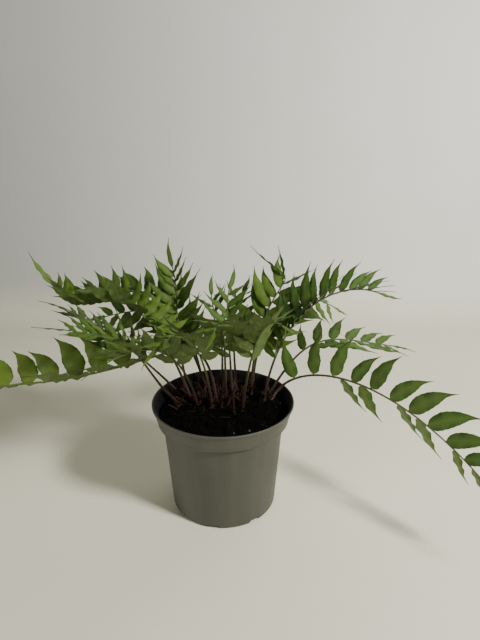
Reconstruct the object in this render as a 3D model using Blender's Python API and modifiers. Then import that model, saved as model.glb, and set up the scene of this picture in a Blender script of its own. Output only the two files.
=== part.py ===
"""Potted holly fern: a plastic nursery pot, the compost in it and nineteen arching fronds.

Units are metres with +Z up. The origin is at the centre of the pot's base, on the ground.
+X is to the right and -Y is towards the viewer, who looks slightly down on the plant.
"""
import math
from dataclasses import dataclass

import bmesh
import bpy
import numpy as np
from mathutils import Vector
from mathutils.bvhtree import BVHTree

MM = 0.001
WELD_DISTANCE = 0.01 * MM

# The pot
POT_HEIGHT = 104.5 * MM
RIM_RADIUS = 65.0 * MM
LIP_DEPTH = 2.2 * MM
LIP_WIDTH = 1.6 * MM
LIP_ROUND = 0.5 * MM
LIP_UNDERCUT = 0.8 * MM
BAND_TOP_RADIUS = 63.0 * MM
BAND_TOP_HEIGHT = 98.0 * MM
BAND_FOOT_RADIUS = 60.0 * MM
BAND_FOOT_HEIGHT = 87.0 * MM
BAND_LEDGE = 1.2 * MM
BODY_TOP_RADIUS = 55.4 * MM
BASE_RADIUS = 49.2 * MM
BASE_CHAMFER = 1.0 * MM
WALL = 1.6 * MM
FLOOR = 4.0 * MM
POT_SIDES = 32
CHANNELS = 8
CHANNEL_WIDTH = 10.5 * MM
CHANNEL_DEPTH = 3.0 * MM
CHANNEL_START = 15.0 * MM
CHANNEL_OVERRUN = 5.0 * MM
FIRST_CHANNEL = -99.0
DRAIN_RADIUS = 3.5 * MM
DRAIN_CIRCLE = 37.0 * MM
DRAIN_SIDES = 6

# The compost, whose waves are in radians a metre along X and Y
SOIL_TOP = 95.5 * MM
SOIL_BUMP = 1.3 * MM
SOIL_BROAD = (210, 190)
SOIL_FINE = (160, 370)
SOIL_FINE_SHARE = 0.6
SOIL_SLOPE = 2.5 * MM
SOIL_EDGE_RADIUS = 58.8 * MM
SOIL_SIDES = 16
SOIL_RINGS = 4
GAP = 0.3 * MM
STALK_DEPTH = 14.0 * MM
HOLE_SIDES = 5
HOLE_ABOVE = 8.0 * MM

# The stalks
STATIONS = 33
CURVE_STEPS = 200
STALK_RADIUS = 1.35 * MM
RACHIS_TIP_RADIUS = 0.55 * MM
TUBE_STEP = 2
ROLL_START = 0.4
ROLL_END = 1.2

# The leaflets: lengths and places are shares, angles are in degrees
LEAFLET_CREST = 1.1 * MM
LEAFLET_NECK = 0.5 * MM
HOOK = 0.16
HOOK_POWER = 2.2
SAG = 0.08
WAVE = 0.35 * MM
RINGS = (0.0, 0.12, 0.38, 0.70)
WIDTH_SCALE = 1.21
SHOULDER_POWER = 0.45
TAPER_POWER = 1.15
FIRST_PLACE = 0.35
SPARE_PLACES = 0.6
BASE_LENGTH = 0.82
LENGTH_GROWTH = 0.55
LENGTH_FALL = 0.92
FALL_POWER = 2.6
TIP_ANGLE = 46.0
ANGLE_POWER = 0.8
TERMINAL_PLACE = 0.995
TERMINAL_BREADTH = 0.7
LENGTH_SPREAD = 0.06
SWING_SPREAD = 4.0
TURN_SPREAD = 6.0
TWIST_SPREAD = 6.0
CLEARANCE = 0.5 * MM
TURNS = (0, 10, -10, 20, -20, 32, -32)
SWINGS = (0, -12, 12, -24)
CUTBACKS = (1.0, 0.85, 0.7, 0.55)


@dataclass(frozen=True)
class Frond:
    """One frond, laid along a Bezier curve whose points are in millimetres."""
    name: str
    foot: tuple      # x and y where it leaves the compost
    rise: tuple      # handle that the stalk heads for
    reach: tuple     # handle that the tip comes from
    tip: tuple
    bare: float      # share of the length that is bare stalk
    pairs: int       # pairs of leaflets, set alternately
    leaflet: float   # longest leaflet, in millimetres
    breadth: float   # width of a leaflet as a share of its length
    lift: float      # degrees that the two rows rise out of the flat
    roll: float      # degrees that the leafy part turns about its rachis
    spread: float    # degrees between the first leaflets and the rachis
    shingle: float   # degrees that each leaflet turns about its own length
    end: float       # length of the last leaflet as a share of the longest
    lost: tuple = ()  # numbers of the leaflets that have dropped off


FRONDS = (
    Frond("right_low", (46, 16), (66, 44, 128), (150, -10, 143), (214, -98, 68),
          0.115, 11, 48, 0.34, -18, 104, 90, 12, 0.62, (1, 3, 9, 15)),
    Frond("left_low", (-6, 7), (-18, 4, 213), (-47, -1, 108), (-259, 10, 113),
          0.36, 8, 51, 0.42, 40, -12, 86, 0, 0.62),
    Frond("left_up", (-34, 26), (-49, 29, 168), (-40, 42, 192), (-48, 48, 217),
          0.30, 10, 43, 0.27, 22, -52, 66, -15, 0.6),
    Frond("right_high", (38, 12), (51, 11, 201), (110, 15, 212), (139, 20, 200),
          0.26, 14, 42, 0.25, 46, 16, 66, 16, 0.7),
    Frond("left_high", (-30, 12), (-82, 12, 260), (-116, 15, 157), (-148, 19, 205),
          0.38, 16, 37, 0.33, 54, -8, 106, -30, 1.15),
    Frond("right_up", (26, 26), (30, 35, 208), (75, 46, 200), (52, 52, 213),
          0.34, 8, 46, 0.27, 15, 0, 76, -18, 0.85),
    Frond("front", (2, 10), (3, -6, 172), (2, -36, 203), (-4, -60, 192),
          0.48, 7, 36, 0.30, 16, 0, 70, 16, 0.62),
    Frond("front_left", (-24, 4), (-36, -8, 165), (-62, -28, 172), (-90, -42, 160),
          0.42, 8, 38, 0.34, 35, 20, 84, 16, 0.62),
    Frond("front_mid", (-10, 0), (-16, -16, 170), (-28, -42, 195), (-46, -60, 180),
          0.48, 7, 35, 0.30, 18, 0, 70, 16, 0.62),
    Frond("front_right", (18, 2), (25, -8, 160), (34, -30, 198), (48, -50, 194),
          0.42, 8, 34, 0.30, 28, 0, 68, 16, 0.62),
    Frond("left_mid", (-43, 27), (-79, 25, 139), (-120, 33, 168), (-147, 42, 176),
          0.38, 8, 36, 0.28, 5, 8, 54, 8, 0.9),
    Frond("right_mid", (44, 26), (81, 34, 164), (101, 44, 148), (165, 44, 139),
          0.36, 6, 40, 0.30, 12, 10, 72, 8, 0.6),
    Frond("left_inner", (-51, 18), (-95, 11, 165), (-70, 2, 159), (-129, -15, 177),
          0.38, 8, 36, 0.32, 16, -10, 70, 16, 0.8),
    Frond("left_back", (-16, 32), (-56, 48, 214), (-80, 58, 184), (-103, 66, 190),
          0.36, 7, 40, 0.34, 40, -15, 76, -14, 0.7),
    Frond("centre", (8, 20), (6, 19, 161), (1, 26, 190), (6, 34, 200),
          0.38, 6, 34, 0.28, 20, 0, 62, -30, 0.7),
    Frond("centre_left", (-3, 38), (2, 44, 171), (-11, 54, 158), (-13, 68, 184),
          0.38, 5, 34, 0.28, 25, 0, 65, -30, 0.7),
    Frond("centre_back", (12, 38), (6, 46, 178), (11, 58, 173), (18, 74, 186),
          0.38, 5, 34, 0.28, 25, 0, 65, -30, 0.7),
    Frond("back_right", (28, 42), (34, 56, 185), (80, 70, 190), (112, 78, 168),
          0.36, 6, 38, 0.34, -25, 30, 80, -14, 0.62),
    Frond("back_left", (-22, 46), (-34, 62, 178), (-72, 74, 172), (-124, 80, 157),
          0.36, 7, 37, 0.33, 4, -50, 76, 8, 0.62),
)


def material(name, colour, roughness):
    """A Principled material with one colour."""
    mat = bpy.data.materials.new(name)
    mat.use_nodes = True
    shader = mat.node_tree.nodes["Principled BSDF"]
    shader.inputs["Base Color"].default_value = (*colour, 1)
    shader.inputs["Roughness"].default_value = roughness
    shader.inputs["Metallic"].default_value = 0
    return mat


def unit(vectors):
    """Vectors scaled to length 1."""
    return vectors / np.linalg.norm(vectors, axis=-1, keepdims=True)


def centreline(frond):
    """Stations along the frond: shares of the length, points, headings, upper faces and length."""
    ends = np.array([(*frond.foot, SOIL_TOP / MM), frond.rise, frond.reach, frond.tip]) * MM
    t = np.linspace(0, 1, CURVE_STEPS + 1)[:, None]
    weights = ((1 - t) ** 3, 3 * (1 - t) ** 2 * t, 3 * (1 - t) * t ** 2, t ** 3)
    curve = sum(weight * end for weight, end in zip(weights, ends))
    travel = np.concatenate([[0], np.cumsum(np.linalg.norm(np.diff(curve, axis=0), axis=1))])
    shares = np.linspace(0, 1, STATIONS)
    points = np.stack([np.interp(shares * travel[-1], travel, axis) for axis in curve.T], axis=1)
    headings = unit(np.gradient(points, axis=0))
    outward = (ends[3] - ends[0]) * (1, 1, 0)
    sides = np.cross(unit(outward), (0, 0, 1))
    sides = unit(sides - headings * (headings @ sides)[:, None])
    return shares, points, headings, np.cross(sides, headings), travel[-1]


def frame_on(frond, line, share):
    """Point, heading, upper direction and side of the frond at a share of its length."""
    shares, points, headings, uppers, _ = line
    point, heading, upper = (
        np.array([np.interp(share, shares, axis) for axis in rows.T]) for rows in (points, headings, uppers)
    )
    heading = unit(heading)
    upper = unit(upper - heading * (upper @ heading))
    side = np.cross(heading, upper)
    progress = (share / frond.bare - ROLL_START) / (ROLL_END - ROLL_START)
    roll = math.radians(frond.roll) * min(1, max(0, progress))
    return (
        point,
        heading,
        upper * math.cos(roll) + side * math.sin(roll),
        side * math.cos(roll) - upper * math.sin(roll),
    )


def half_width(x):
    """Half width of a leaflet as a share of its width: a full shoulder and a drawn-out tip."""
    return WIDTH_SCALE * x ** SHOULDER_POWER * (1 - x) ** TAPER_POWER


def leaflet_place(frond, line, draws, index, turn, swing, cutback):
    """Where leaflet number index sits: its base, axis, across and normal directions and length."""
    count = 2 * frond.pairs
    share = (index + FIRST_PLACE) / (count + SPARE_PLACES)
    terminal = index == count
    along = TERMINAL_PLACE if terminal else frond.bare + (1 - frond.bare) * share
    point, heading, upper, side = frame_on(frond, line, along)
    hand = 1 if index % 2 else -1
    length_draw, swing_draw, turn_draw, twist_draw = draws[index]
    length = frond.leaflet * MM * cutback * (1 + LENGTH_SPREAD * length_draw)
    swing += SWING_SPREAD * swing_draw
    turn += TURN_SPREAD * turn_draw
    if terminal:
        length *= frond.end
        angle = math.radians(swing)
        lift = math.radians(turn)
    else:
        length *= BASE_LENGTH + LENGTH_GROWTH * share - LENGTH_FALL * share ** FALL_POWER
        angle = math.radians(frond.spread - (frond.spread - TIP_ANGLE) * share ** ANGLE_POWER + swing)
        lift = math.radians(frond.lift + turn)
    flat = side * hand * math.cos(lift) + upper * math.sin(lift)
    axis = heading * math.cos(angle) + flat * math.sin(angle)
    normal = upper * math.cos(lift) - side * hand * math.sin(lift)
    normal = unit(normal - axis * (normal @ axis))
    across = np.cross(normal, axis)
    if across @ heading < 0:
        across = -across
    tilt = math.radians((0 if terminal else frond.shingle) + TWIST_SPREAD * twist_draw)
    across, normal = (
        across * math.cos(tilt) + normal * math.sin(tilt),
        normal * math.cos(tilt) - across * math.sin(tilt),
    )
    width = length * frond.breadth * (TERMINAL_BREADTH if terminal else 1)
    return point, axis, across, normal, length, width


def leaflet_mesh(place, widen=0.0, shift=0.0):
    """A sickle-shaped leaflet with three-sided sections, and its faces."""
    point, axis, across, normal, length, width = place
    points = []
    point = point + normal * shift
    for number, x in enumerate(RINGS):
        bend = across * HOOK * x ** HOOK_POWER - normal * SAG * x ** 2
        middle = point + (axis * x + bend) * length
        half = LEAFLET_NECK if number == 0 else width * half_width(x)
        crest = LEAFLET_NECK if number == 0 else LEAFLET_CREST
        wave = 0.0 if number == 0 else WAVE * (-1) ** number
        points.append(middle + across * (half + widen) + normal * wave)
        points.append(middle - across * (half + widen) - normal * wave)
        points.append(middle + normal * crest)
    points.append(point + axis * (length + widen) + (across * HOOK - normal * SAG) * length)
    faces = [(2, 1, 0)]
    for ring in range(0, 3 * len(RINGS) - 3, 3):
        for a, b in ((0, 1), (1, 2), (2, 0)):
            faces.append((ring + a, ring + b, ring + 3 + b))
            faces.append((ring + a, ring + 3 + b, ring + 3 + a))
    last = 3 * len(RINGS) - 3
    faces += [(last + a, last + b, last + 3) for a, b in ((0, 1), (1, 2), (2, 0))]
    if np.cross(across, normal) @ axis > 0:
        faces = [face[::-1] for face in faces]
    return points, faces


def tree_of(points, faces):
    """A search tree of a mesh, in millimetres so that small faces aren't taken for empty."""
    return BVHTree.FromPolygons([tuple(point / MM) for point in points], faces)


def tube_mesh(line, swell=0.0):
    """A four-sided tube round a frond's rachis, used only to keep leaflets clear of it."""
    shares, points, headings, uppers, _ = line
    sides = np.cross(headings, uppers)
    radii = math.sqrt(2) * (STALK_RADIUS + (RACHIS_TIP_RADIUS - STALK_RADIUS) * shares + swell)[:, None]
    corners = [points + radii * way for way in (sides, uppers, -sides, -uppers)]
    cloud = np.stack(corners, axis=1).reshape(-1, 3)
    faces = []
    for ring in range(0, 4 * STATIONS - 4, 4):
        for corner in range(4):
            other = (corner + 1) % 4
            faces.append((ring + corner, ring + other, ring + 4 + other, ring + 4 + corner))
    return cloud, faces


def settle_leaflets(lines):
    """Bend every leaflet clear of the other fronds; one with no room is left out."""
    stalks = {frond.name: tree_of(*tube_mesh(line, CLEARANCE)) for frond, line in lines.items()}
    settled = {}
    leaves = []
    for number, (frond, line) in enumerate(lines.items()):
        count = 2 * frond.pairs + 1
        draws = np.random.default_rng(number + 1).standard_normal((count, 4))
        obstacles = [tree for name, tree in stalks.items() if name != frond.name] + leaves
        kept = [index for index in range(count) if index not in frond.lost]
        found = [clear_place(frond, line, draws, index, obstacles) for index in kept]
        settled[frond] = [place for place in found if place is not None]
        leaves += [tree_of(*leaflet_mesh(place)) for place in settled[frond]]
    return settled


def is_clear(place, obstacles):
    """Whether a leaflet, and the same leaflet a little above and below, misses every obstacle."""
    for shift in (0, CLEARANCE, -CLEARANCE):
        tree = tree_of(*leaflet_mesh(place, CLEARANCE, shift))
        if any(tree.overlap(other) for other in obstacles):
            return False
    return True


def clear_place(frond, line, draws, index, obstacles):
    """The first of the allowed turns, swings and cutbacks that keeps this leaflet clear."""
    for cutback in CUTBACKS:
        for swing in SWINGS:
            for turn in TURNS:
                place = leaflet_place(frond, line, draws, index, turn, swing, cutback)
                if is_clear(place, obstacles):
                    return place
    return None


def new_object(name, mesh, collection):
    """An object of a mesh, linked to a collection."""
    thing = bpy.data.objects.new(name, mesh)
    collection.objects.link(thing)
    return thing


def mesh_object(name, points, faces, collection):
    """An object of points and faces."""
    mesh = bpy.data.meshes.new(name)
    mesh.from_pydata([tuple(point) for point in points], [], faces)
    return new_object(name, mesh, collection)


def applied(thing, name, collection):
    """A new object with the evaluated mesh of another, which is removed."""
    graph = bpy.context.evaluated_depsgraph_get()
    mesh = bpy.data.meshes.new_from_object(thing.evaluated_get(graph))
    mesh.name = name
    matrix = thing.matrix_world.copy()
    bpy.data.objects.remove(thing, do_unlink=True)
    result = new_object(name, mesh, collection)
    result.matrix_world = matrix
    return result


def turned(name, profile, sides, collection):
    """A profile of radius and height pairs, turned about the Z axis and welded."""
    points = [(radius, 0, height) for radius, height in profile]
    edges = [(number, (number + 1) % len(points)) for number in range(len(points))]
    mesh = bpy.data.meshes.new(name)
    mesh.from_pydata(points, edges, [])
    thing = new_object(name + "_profile", mesh, collection)
    screw = thing.modifiers.new("Turn", "SCREW")
    screw.steps = screw.render_steps = sides
    screw.use_merge_vertices = True
    screw.merge_threshold = WELD_DISTANCE
    return applied(thing, name, collection)


def cut(thing, cutters):
    """A live Boolean difference with everything in the cutters' collection."""
    modifier = thing.modifiers.new("Cuts", "BOOLEAN")
    modifier.operation = "DIFFERENCE"
    modifier.operand_type = "COLLECTION"
    modifier.collection = cutters


def hidden_collection(name):
    """A collection for cutters, which only shape other pieces."""
    collection = bpy.data.collections.new(name)
    bpy.context.scene.collection.children.link(collection)
    collection.hide_render = True
    return collection


def cutter(name, shape, collection, location, rotation):
    """A cutter made from a bmesh, placed and hidden."""
    mesh = bpy.data.meshes.new(name)
    shape.to_mesh(mesh)
    shape.free()
    thing = new_object(name, mesh, collection)
    thing.location = location
    thing.rotation_euler = rotation
    thing.hide_render = True
    thing.display_type = "WIRE"


def block(size):
    """A bmesh box of the given size about its centre."""
    shape = bmesh.new()
    bmesh.ops.create_cube(shape, size=1)
    bmesh.ops.scale(shape, vec=size, verts=shape.verts)
    return shape


def rod(radius, depth, sides):
    """A bmesh cylinder along Z about its centre."""
    shape = bmesh.new()
    bmesh.ops.create_cone(
        shape, cap_ends=True, segments=sides, radius1=radius, radius2=radius, depth=depth
    )
    return shape


def build_pot(collection, plastic):
    """The pot: a banded rim, a tapered body and a floor with drainage channels and holes."""
    inner_top = RIM_RADIUS - LIP_WIDTH
    profile = [
        (RIM_RADIUS - LIP_ROUND, POT_HEIGHT),
        (RIM_RADIUS, POT_HEIGHT - LIP_ROUND),
        (RIM_RADIUS, POT_HEIGHT - LIP_DEPTH),
        (BAND_TOP_RADIUS + LIP_ROUND, POT_HEIGHT - LIP_DEPTH - LIP_UNDERCUT),
        (BAND_TOP_RADIUS, BAND_TOP_HEIGHT),
        (BAND_FOOT_RADIUS, BAND_FOOT_HEIGHT),
        (BODY_TOP_RADIUS, BAND_FOOT_HEIGHT - BAND_LEDGE),
        (BASE_RADIUS, BASE_CHAMFER),
        (BASE_RADIUS - BASE_CHAMFER, 0),
        (0, 0),
        (0, FLOOR),
        (BASE_RADIUS - WALL - BASE_CHAMFER, FLOOR),
        (BASE_RADIUS - WALL, FLOOR + BASE_CHAMFER),
        (BODY_TOP_RADIUS - WALL, BAND_FOOT_HEIGHT - BAND_LEDGE + WALL),
        (BAND_FOOT_RADIUS - WALL, BAND_FOOT_HEIGHT + WALL),
        (BAND_TOP_RADIUS - WALL, BAND_TOP_HEIGHT),
        (inner_top, POT_HEIGHT - LIP_ROUND),
        (inner_top + LIP_ROUND / 2, POT_HEIGHT),
    ]
    pot = turned("pot", profile, POT_SIDES, collection)
    pot.data.materials.append(plastic)
    cutters = hidden_collection("pot_cutters")
    reach = BASE_RADIUS + CHANNEL_OVERRUN - CHANNEL_START
    for number in range(CHANNELS):
        bearing = math.radians(FIRST_CHANNEL + 360 / CHANNELS * number)
        way = Vector((math.cos(bearing), math.sin(bearing), 0))
        channel = block((reach, CHANNEL_WIDTH, 2 * CHANNEL_DEPTH))
        place = way * (CHANNEL_START + reach / 2)
        cutter(f"channel_{number + 1}", channel, cutters, place, (0, 0, bearing))
        drain = rod(DRAIN_RADIUS, 4 * FLOOR, DRAIN_SIDES)
        cutter(f"drain_{number + 1}", drain, cutters, way * DRAIN_CIRCLE, (0, 0, bearing))
    cut(pot, cutters)
    return pot


def soil_height(x, y):
    """Height of the compost: a gentle uneven mound."""
    edge = (math.hypot(x, y) / SOIL_EDGE_RADIUS) ** 4
    broad = math.sin(SOIL_BROAD[0] * x + 1) * math.cos(SOIL_BROAD[1] * y)
    fine = SOIL_FINE_SHARE * math.sin(SOIL_FINE[0] * x + SOIL_FINE[1] * y)
    return SOIL_TOP - SOIL_SLOPE * edge + SOIL_BUMP * (broad + fine) * (1 - edge)


def build_soil(collection, lines, peat):
    """The compost, fitted in the pot with a small gap, with a plain hole for each stalk."""
    wall = WALL + GAP
    edge = SOIL_TOP - SOIL_SLOPE
    ledge = BAND_FOOT_HEIGHT + WALL + GAP
    profile = [(SOIL_EDGE_RADIUS * ring / SOIL_RINGS, edge) for ring in range(1, SOIL_RINGS + 1)]
    profile += [
        (BAND_FOOT_RADIUS - wall, ledge),
        (BODY_TOP_RADIUS - wall, ledge - BAND_LEDGE),
        (BASE_RADIUS - wall, FLOOR + BASE_CHAMFER + GAP),
        (BASE_RADIUS - wall - BASE_CHAMFER, FLOOR + GAP),
        (0, FLOOR + GAP),
        (0, edge),
    ]
    soil = turned("soil", profile, SOIL_SIDES, collection)
    for vertex in soil.data.vertices:
        if vertex.co.z > edge - WELD_DISTANCE:
            vertex.co.z = soil_height(vertex.co.x, vertex.co.y)
    soil.data.materials.append(peat)
    cutters = hidden_collection("soil_cutters")
    depth = STALK_DEPTH + GAP
    radius = (STALK_RADIUS + GAP) / math.cos(math.pi / HOLE_SIDES)
    for frond, line in lines.items():
        foot = Vector(line[1][0])
        heading = Vector(line[2][0])
        hole = rod(radius, depth + HOLE_ABOVE, HOLE_SIDES)
        turn = heading.to_track_quat("Z", "Y").to_euler()
        cutter("hole_" + frond.name, hole, cutters, foot + heading * (HOLE_ABOVE - depth) / 2, turn)
    cut(soil, cutters)
    return soil


def build_rachis(frond, line, collection):
    """The stalk and rachis: a tapered tube that starts inside the compost."""
    shares, points, headings, _, _ = line
    sunk = points[0] - headings[0] * STALK_DEPTH
    route = np.vstack([sunk, points[::TUBE_STEP]])
    taper = STALK_RADIUS + (RACHIS_TIP_RADIUS - STALK_RADIUS) * shares[::TUBE_STEP]
    radii = np.concatenate([[STALK_RADIUS], taper])
    curve = bpy.data.curves.new(frond.name, "CURVE")
    curve.dimensions = "3D"
    curve.bevel_depth = 1.0
    curve.bevel_resolution = 0
    curve.use_fill_caps = True
    spline = curve.splines.new("POLY")
    spline.points.add(len(route) - 1)
    for point, place, radius in zip(spline.points, route, radii):
        point.co = (*place, 1)
        point.radius = radius
    thing = applied(new_object(frond.name + "_curve", curve, collection), frond.name, collection)
    shape = bmesh.new()
    shape.from_mesh(thing.data)
    bmesh.ops.remove_doubles(shape, verts=shape.verts, dist=WELD_DISTANCE)
    bmesh.ops.recalc_face_normals(shape, faces=shape.faces)
    shape.to_mesh(thing.data)
    shape.free()
    return thing


def build_frond(frond, line, places, collection, green):
    """One frond: its rachis and leaflets, joined into one body."""
    rachis = build_rachis(frond, line, collection)
    leaflets = hidden_collection(frond.name + "_leaflets")
    for number, place in enumerate(places):
        mesh_object(f"{frond.name}_leaflet_{number + 1}", *leaflet_mesh(place), leaflets)
    union = rachis.modifiers.new("Leaflets", "BOOLEAN")
    union.operation = "UNION"
    union.operand_type = "COLLECTION"
    union.collection = leaflets
    joined = applied(rachis, frond.name, collection)
    joined.name = frond.name
    joined.data.materials.clear()
    joined.data.materials.append(green)
    for leaflet in list(leaflets.objects):
        bpy.data.objects.remove(leaflet, do_unlink=True)
    bpy.data.collections.remove(leaflets)
    return joined


def main():
    """Clears the scene and builds the plant."""
    for thing in list(bpy.data.objects):
        bpy.data.objects.remove(thing, do_unlink=True)
    plant = bpy.data.collections.new("potted_holly_fern")
    bpy.context.scene.collection.children.link(plant)
    lines = {frond: centreline(frond) for frond in FRONDS}
    build_pot(plant, material("pot_plastic", (0.105, 0.10, 0.078), 0.5))
    build_soil(plant, lines, material("peat", (0.012, 0.009, 0.007), 0.95))
    green = material("fern_green", (0.045, 0.13, 0.02), 0.45)
    for frond, places in settle_leaflets(lines).items():
        build_frond(frond, lines[frond], places, plant, green)


main()
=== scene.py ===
"""Finish of the potted holly fern: fine fronds, compost, moulded pot, floor, light and camera.

Run in Blender as a script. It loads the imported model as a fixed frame, in metres with +Z up,
then puts a finer piece round or in place of each of its nodes.
"""
import math
from dataclasses import dataclass
from itertools import product

import bpy
import numpy as np
from bpy.props import FloatProperty, FloatVectorProperty, IntProperty, PointerProperty
from bpy.types import Operator, Panel, PropertyGroup
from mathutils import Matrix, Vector
from mathutils.bvhtree import BVHTree


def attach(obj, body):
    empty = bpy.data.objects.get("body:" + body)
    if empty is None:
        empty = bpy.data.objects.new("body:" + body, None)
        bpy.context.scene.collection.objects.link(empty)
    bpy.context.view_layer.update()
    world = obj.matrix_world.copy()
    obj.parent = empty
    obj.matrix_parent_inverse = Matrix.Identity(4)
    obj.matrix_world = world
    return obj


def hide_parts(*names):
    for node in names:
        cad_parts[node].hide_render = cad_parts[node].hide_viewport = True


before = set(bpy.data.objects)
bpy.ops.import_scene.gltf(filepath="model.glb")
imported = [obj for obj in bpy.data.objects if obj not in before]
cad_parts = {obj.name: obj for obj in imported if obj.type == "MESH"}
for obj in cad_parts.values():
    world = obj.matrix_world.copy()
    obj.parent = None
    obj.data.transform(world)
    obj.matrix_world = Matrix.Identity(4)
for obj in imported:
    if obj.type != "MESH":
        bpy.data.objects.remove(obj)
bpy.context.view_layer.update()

bl_info = {
    "name": "Potted holly fern",
    "version": (1, 0, 0),
    "blender": (4, 5, 0),
    "location": "View3D > Sidebar > Fern",
    "description": "Fine fronds, compost and pot for a potted holly fern",
    "category": "Object",
}

MM = 0.001
UP = np.array((0.0, 0.0, 1.0))
BODY = "root"
SHARP_ANGLE = 50

# The pot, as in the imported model
POT_HEIGHT = 104.5 * MM
RIM_RADIUS = 65.0 * MM
LIP_DEPTH = 2.2 * MM
LIP_WIDTH = 1.6 * MM
LIP_ROUND = 0.5 * MM
LIP_UNDERCUT = 0.8 * MM
BAND_TOP_RADIUS = 63.0 * MM
BAND_TOP_HEIGHT = 98.0 * MM
BAND_FOOT_RADIUS = 60.0 * MM
BAND_FOOT_HEIGHT = 87.0 * MM
BAND_LEDGE = 1.2 * MM
BODY_TOP_RADIUS = 55.4 * MM
BASE_RADIUS = 49.2 * MM
BASE_CHAMFER = 1.0 * MM
WALL = 1.6 * MM
FLOOR = 4.0 * MM
CHANNELS = 8
CHANNEL_WIDTH = 10.5 * MM
CHANNEL_DEPTH = 3.0 * MM
CHANNEL_START = 15.0 * MM
CHANNEL_END = 54.2 * MM
FIRST_CHANNEL = -99.0
DRAIN_RADIUS = 3.5 * MM
DRAIN_CIRCLE = 37.0 * MM

# The pot's fine form: the bead under its band, the share of the profile that is outside, and the
# bearing of a thin line of painted shade down the body, in radians
BEAD = 0.5 * MM
LIP_SHARE = 0.649
SHADE_LINE_BEARING = -2.69
CORNER_ROUND = 1.4 * LIP_ROUND
CORNER_STEPS = 4
CUTTER_SIDES = 16
DRAIN_SIDES = 20

# The compost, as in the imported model
SOIL_TOP = 95.5 * MM
SOIL_BUMP = 1.3 * MM
SOIL_BROAD = (210, 190)
SOIL_FINE = (160, 370)
SOIL_FINE_SHARE = 0.6
SOIL_SLOPE = 2.5 * MM
SOIL_EDGE_RADIUS = 58.8 * MM
GAP = 0.3 * MM
STALK_DEPTH = 14.0 * MM

# The compost's fine form, and the crumbs, fibres, stubs and scales on it. A heap has a middle, a
# spread, and a limit to how far it goes from the pot's axis.
COMPOST_RINGS = 84
COMPOST_SIDES = 230
LATTICE = 128
CRUMB_MARGIN = 1.5 * MM
CRUMB_SIZE = 0.45 * MM
CRUMB_GROWTH = 0.75 * MM
HEAP = np.array((-20, 16)) * MM
HEAP_SPREAD = 18 * MM
HEAP_LIMIT = 46 * MM
FIBRE_RADIUS = 0.28 * MM
FIBRE_REACH = (5, 11)
FIBRE_TAPER = np.linspace(1.1, 0.6, 9)
STUB_HEAP = np.array((-16, 20)) * MM
STUB_SPREAD = np.array((21, 13)) * MM
STUB_LIMIT = 40 * MM
STUB_DEPTH = 4 * MM
STUB_LEAN = 0.2
STUB_JITTER = 16 * MM
STUB_TAPER = np.linspace(1.25, 0.8, 7)
SCALES_A_STALK = 16
SCALES_A_STUB = 6
SCALE_RISE = (-1, 7)
SCALE_LENGTH = (3, 6.5)
SCALE_TAPER = np.array((0.7, 1.0, 0.85, 0.5, 0.12))
SCALE_FLATNESS = 0.25

# The fronds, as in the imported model
STATIONS = 33
CURVE_STEPS = 200
STALK_RADIUS = 1.35 * MM
RACHIS_TIP_RADIUS = 0.55 * MM
ROLL_START = 0.4
ROLL_END = 1.2
LEAFLET_CREST = 1.1 * MM
LEAFLET_NECK = 0.5 * MM
HOOK = 0.16
HOOK_POWER = 2.2
SAG = 0.08
WAVE = 0.35 * MM
RINGS = np.array((0.0, 0.12, 0.38, 0.70))
WIDTH_SCALE = 1.21
SHOULDER_POWER = 0.45
TAPER_POWER = 1.15
FIRST_PLACE = 0.35
SPARE_PLACES = 0.6
BASE_LENGTH = 0.82
LENGTH_GROWTH = 0.55
LENGTH_FALL = 0.92
FALL_POWER = 2.6
TIP_ANGLE = 46.0
ANGLE_POWER = 0.8
TERMINAL_PLACE = 0.995
TERMINAL_BREADTH = 0.7
LENGTH_SPREAD = 0.06
SWING_SPREAD = 4.0
TURN_SPREAD = 6.0
TWIST_SPREAD = 6.0
CLEARANCE = 0.5 * MM
TURNS = (0, 10, -10, 20, -20, 32, -32)
SWINGS = (0, -12, 12, -24)
CUTBACKS = (1.0, 0.85, 0.7, 0.55)

# The blades' fine form: shares of the leaflet's length or half width unless in MM
BLADE_RINGS = 38
BLADE_END = 0.992
ACROSS = np.array((1.0, 0.8, 0.5, 0.16, 0.0, -0.16, -0.5, -0.8, -1.0))
PETIOLE = 0.035
PETIOLE_RADIUS = 0.55 * MM
TAIL = 0.62
TIP_BEND = 0.25
TEETH = 9
EAR = 0.14
BLADE_HALF = 0.2 * MM
RIB_DROP = 0.3 * MM
CROWN_FALL = 0.12
RIPPLES = 3.2
NECK_SWELL = 0.35 * MM
FOOT_SWELL = 0.55 * MM
FOOT_LENGTH = 9 * MM
WOBBLE = 0.05 * MM

# The stage, in metres, with angles in degrees. A light has its size, its spread and its place.
STAGE_FRONT = -2.5
STAGE_SIDE = 3
WALL_TOP = 2.2
COVE = 0.09
COVE_STEPS = 12
KEY = (0.2, 180, (0.83, -0.56, 0.85))
FILL = (0.35, 60, (-0.90, -0.55, 0.20))
AIM = Vector((0, 0, 0.1))
LIGHT_COLOUR = (1.0, 0.985, 0.95)
SKY_COLOUR = (0.94, 0.96, 1.0, 1)
SENSOR = 36
LENS = 28.125
CAMERA_PLACE = (0.01555, -0.411, 0.324)
CAMERA_DOWN = 19.17


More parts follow.
